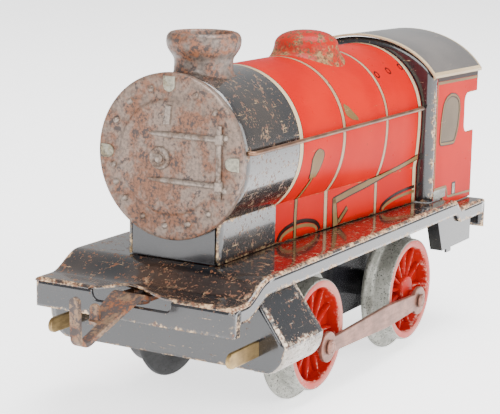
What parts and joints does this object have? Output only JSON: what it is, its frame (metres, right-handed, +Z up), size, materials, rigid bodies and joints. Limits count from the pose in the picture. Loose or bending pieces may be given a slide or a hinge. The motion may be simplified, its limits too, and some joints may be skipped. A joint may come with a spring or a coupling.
{
  "type": "model steam engine",
  "caption": "Worn red and black tinplate clockwork locomotive with spoked wheels, coupling rods, boiler, chimney, dome, cab and hook couplings, for toy railway track.",
  "frame": {"origin": "middle of the bounding box at the height of the lowest wheel flange facets", "axes": "+X towards the front beam, +Y to the engine's left, +Z up"},
  "size_m": [0.1532, 0.0546, 0.0753],
  "materials": {
    "red_enamel": "gloss vermilion enamel on tinplate, worn",
    "black_enamel": "gloss black enamel on tinplate, chipped at the edges",
    "rusted_tin": "black paint worn to brown rusted tinplate",
    "cast_wheel": "red painted casting with bare grey tread",
    "bright_steel": "bare steel",
    "rod_steel": "tarnished plated steel",
    "spring_steel": "blued spring steel",
    "brass": "dull brass"
  },
  "bodies": {
    "chassis": {"footplate": "black_enamel", "cylinder_block": "black_enamel", "boiler_shell": "red_enamel", "smokebox_front": "rusted_tin", "smokebox_saddle": "black_enamel", "chimney": "rusted_tin", "dome": "red_enamel", "handrail_left": "bright_steel", "handrail_right": "bright_steel", "cab_front": "black_enamel", "cab_side_left": "red_enamel", "cab_side_right": "red_enamel", "cab_roof": "black_enamel", "cab_step_left": "black_enamel", "cab_step_right": "black_enamel", "motor_plate_left": "bright_steel", "motor_plate_right": "bright_steel", "pillar_bottom": "bright_steel", "pillar_top_front": "bright_steel", "pillar_top_rear": "bright_steel", "mainspring": "spring_steel", "brake_guide": "bright_steel", "front_coupling_rivet": "bright_steel", "rear_coupling_rivet": "bright_steel"},
    "rear_wheelset": {"rear_axle": "bright_steel", "rear_wheel_left": "cast_wheel", "rear_wheel_right": "cast_wheel", "rear_crank_pin_left": "rod_steel", "rear_crank_pin_right": "rod_steel", "axle_gear": "bright_steel"},
    "front_wheelset": {"front_axle": "bright_steel", "front_wheel_left": "cast_wheel", "front_wheel_right": "cast_wheel", "front_crank_pin_left": "rod_steel", "front_crank_pin_right": "rod_steel"},
    "coupling_rod_left": {"coupling_rod_left": "rod_steel"},
    "coupling_rod_right": {"coupling_rod_right": "rod_steel"},
    "second_arbor": {"second_arbor": "bright_steel", "second_pinion": "bright_steel", "second_wheel": "brass"},
    "great_wheel": {"great_wheel": "brass"},
    "winding": {"winding_arbor": "bright_steel", "ratchet_spring": "spring_steel"},
    "brake": {"brake_rod": "bright_steel", "brake_knob": "red_enamel"},
    "front_coupling": {"front_coupling": "rusted_tin"},
    "rear_coupling": {"rear_coupling": "rusted_tin"},
    "piston_rod_left": {"piston_rod_left": "brass"},
    "piston_rod_right": {"piston_rod_right": "brass"}
  },
  "joints": [
    {"name": "rear_axle_spin", "type": "hinge", "parent": "chassis", "child": "rear_wheelset", "pos_m": [-0.02486, 0, 0.01405], "axis": [0, 1, 0], "continuous": true},
    {"name": "front_axle_spin", "type": "hinge", "parent": "chassis", "child": "front_wheelset", "pos_m": [0.02054, 0, 0.01405], "axis": [0, 1, 0], "continuous": true},
    {"name": "coupling_rod_left_pin", "type": "hinge", "parent": "rear_wheelset", "child": "coupling_rod_left", "pos_m": [-0.02737, 0, 0.01106], "axis": [0, 1, 0], "continuous": true},
    {"name": "coupling_rod_right_pin", "type": "hinge", "parent": "rear_wheelset", "child": "coupling_rod_right", "pos_m": [-0.02785, 0, 0.01655], "axis": [0, 1, 0], "continuous": true},
    {"name": "second_arbor_spin", "type": "hinge", "parent": "chassis", "child": "second_arbor", "pos_m": [-0.01695, 0, 0.02535], "axis": [0, 1, 0], "continuous": true},
    {"name": "great_wheel_spin", "type": "hinge", "parent": "chassis", "child": "great_wheel", "pos_m": [-0.00825, 0, 0.04042], "axis": [0, 1, 0], "continuous": true},
    {"name": "winding_turn", "type": "hinge", "parent": "great_wheel", "child": "winding", "pos_m": [-0.00825, 0, 0.04042], "axis": [0, 1, 0], "continuous": true},
    {"name": "brake_slide", "type": "slide", "parent": "chassis", "child": "brake", "axis": [-1, 0, 0], "range_m": [0, 0.004]},
    {"name": "front_coupling_swing", "type": "hinge", "parent": "chassis", "child": "front_coupling", "pos_m": [0.05624, 0, 0.02705], "axis": [0, 0, 1], "range_deg": [-16, 20]},
    {"name": "rear_coupling_swing", "type": "hinge", "parent": "chassis", "child": "rear_coupling", "pos_m": [-0.05456, 0, 0.02825], "axis": [0, 0, 1], "range_deg": [-20, 20]},
    {"name": "piston_rod_left_slide", "type": "slide", "parent": "chassis", "child": "piston_rod_left", "axis": [1, 0, 0], "range_m": [-0.0014, 0.0064]},
    {"name": "piston_rod_right_slide", "type": "slide", "parent": "chassis", "child": "piston_rod_right", "axis": [1, 0, 0], "range_m": [-0.0009, 0.0069]}
  ],
  "couplings": [
    {"joint": "front_axle_spin", "follows": "rear_axle_spin", "ratio": 1},
    {"joint": "coupling_rod_left_pin", "follows": "rear_axle_spin", "ratio": -1},
    {"joint": "coupling_rod_right_pin", "follows": "rear_axle_spin", "ratio": -1},
    {"joint": "second_arbor_spin", "follows": "rear_axle_spin", "ratio": -0.4375},
    {"joint": "great_wheel_spin", "follows": "rear_axle_spin", "ratio": 0.091146}
  ]
}
